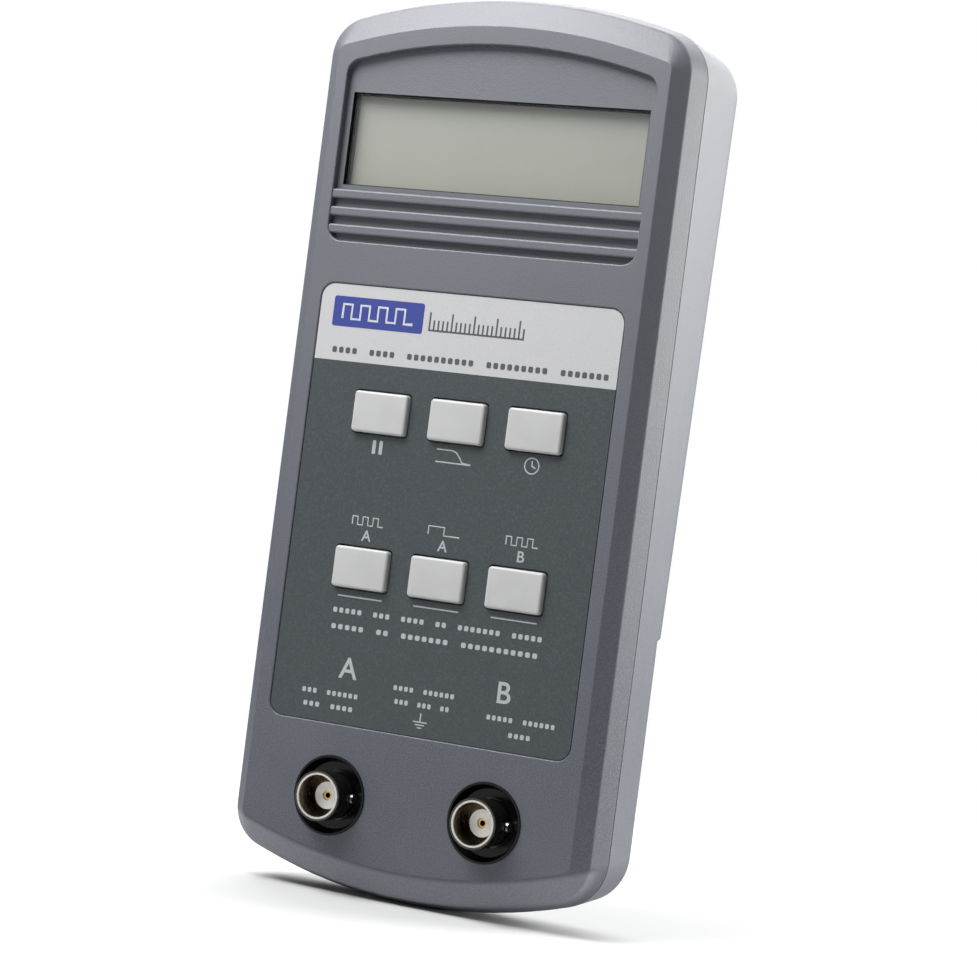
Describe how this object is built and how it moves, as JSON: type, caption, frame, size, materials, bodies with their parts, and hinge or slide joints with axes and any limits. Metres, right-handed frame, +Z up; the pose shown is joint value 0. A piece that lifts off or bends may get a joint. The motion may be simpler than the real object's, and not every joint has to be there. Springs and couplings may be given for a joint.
{
  "type": "frequency counter",
  "caption": "Hand-held battery frequency counter with a liquid crystal display, a keypad and two coaxial input sockets at the lower end.",
  "frame": {"origin": "bottom centre of the overall box, under the lower end of the case", "axes": "+Z up the case to the display end, the face looks towards -Y, +X to the reader's right"},
  "size_m": [0.081, 0.034, 0.176],
  "materials": {
    "case_grey": "fine spark-eroded texture",
    "key_grey": "satin",
    "label_dark": "printed polycarbonate film",
    "window_clear": "clear",
    "lcd": "satin polariser",
    "black_plastic": "glossy",
    "black_matt": "matt",
    "nickel": "nickel plated",
    "white_plastic": "turned PTFE",
    "gold_contact": "gold flash",
    "board_green": "solder resist",
    "tinplate": "tinned",
    "steel": "zinc plated",
    "battery_jacket": "printed steel jacket",
    "foam": "open-cell foam",
    "capacitor_sleeve": "shrink sleeve"
  },
  "bodies": {
    "case": {"front_case": "case_grey", "rear_case": "case_grey", "display_window": "window_clear", "lcd_glass": "lcd", "lcd_bezel": "black_matt", "lcd_pins": "tinplate", "front_label": "label_dark", "switch_bodies": "black_matt", "main_pcb": "board_green", "case_screws": "steel", "board_screws": "steel", "shield_can": "tinplate", "crystal_can": "tinplate", "counter_chip": "black_matt", "control_chip": "black_matt", "prescaler_chip": "black_matt", "capacitors": "capacitor_sleeve", "power_regulator": "black_matt", "socket_nuts": "nickel", "socket_washers": "tinplate", "input_links": "tinplate", "battery": "battery_jacket", "terminal_board": "black_matt", "terminal_studs": "nickel", "socket_body_a": "nickel", "socket_insulator_a": "white_plastic", "socket_contact_a": "gold_contact", "socket_collar_a": "black_plastic", "socket_body_b": "nickel", "socket_insulator_b": "white_plastic", "socket_contact_b": "gold_contact", "socket_collar_b": "black_plastic"},
    "battery_door": {"battery_door": "case_grey", "door_pad": "foam"},
    "key_1": {"keycap_1": "key_grey", "switch_plunger_1": "white_plastic"},
    "key_2": {"keycap_2": "key_grey", "switch_plunger_2": "white_plastic"},
    "key_3": {"keycap_3": "key_grey", "switch_plunger_3": "white_plastic"},
    "key_4": {"keycap_4": "key_grey", "switch_plunger_4": "white_plastic"},
    "key_5": {"keycap_5": "key_grey", "switch_plunger_5": "white_plastic"},
    "key_6": {"keycap_6": "key_grey", "switch_plunger_6": "white_plastic"}
  },
  "joints": [
    {"name": "key_1_press", "type": "slide", "parent": "case", "child": "key_1", "axis": [0, 1, 0], "range_m": [0, 0.0005], "stiffness_N_per_m": 1500, "springref_m": -0.0003},
    {"name": "key_2_press", "type": "slide", "parent": "case", "child": "key_2", "axis": [0, 1, 0], "range_m": [0, 0.0005], "stiffness_N_per_m": 1500, "springref_m": -0.0003},
    {"name": "key_3_press", "type": "slide", "parent": "case", "child": "key_3", "axis": [0, 1, 0], "range_m": [0, 0.0005], "stiffness_N_per_m": 1500, "springref_m": -0.0003},
    {"name": "key_4_press", "type": "slide", "parent": "case", "child": "key_4", "axis": [0, 1, 0], "range_m": [0, 0.0005], "stiffness_N_per_m": 1500, "springref_m": -0.0003},
    {"name": "key_5_press", "type": "slide", "parent": "case", "child": "key_5", "axis": [0, 1, 0], "range_m": [0, 0.0005], "stiffness_N_per_m": 1500, "springref_m": -0.0003},
    {"name": "key_6_press", "type": "slide", "parent": "case", "child": "key_6", "axis": [0, 1, 0], "range_m": [0, 0.0005], "stiffness_N_per_m": 1500, "springref_m": -0.0003},
    {"name": "battery_door_slide", "type": "slide", "parent": "case", "child": "battery_door", "axis": [0, 0.045, 0.999], "range_m": [0, 0.032]}
  ]
}
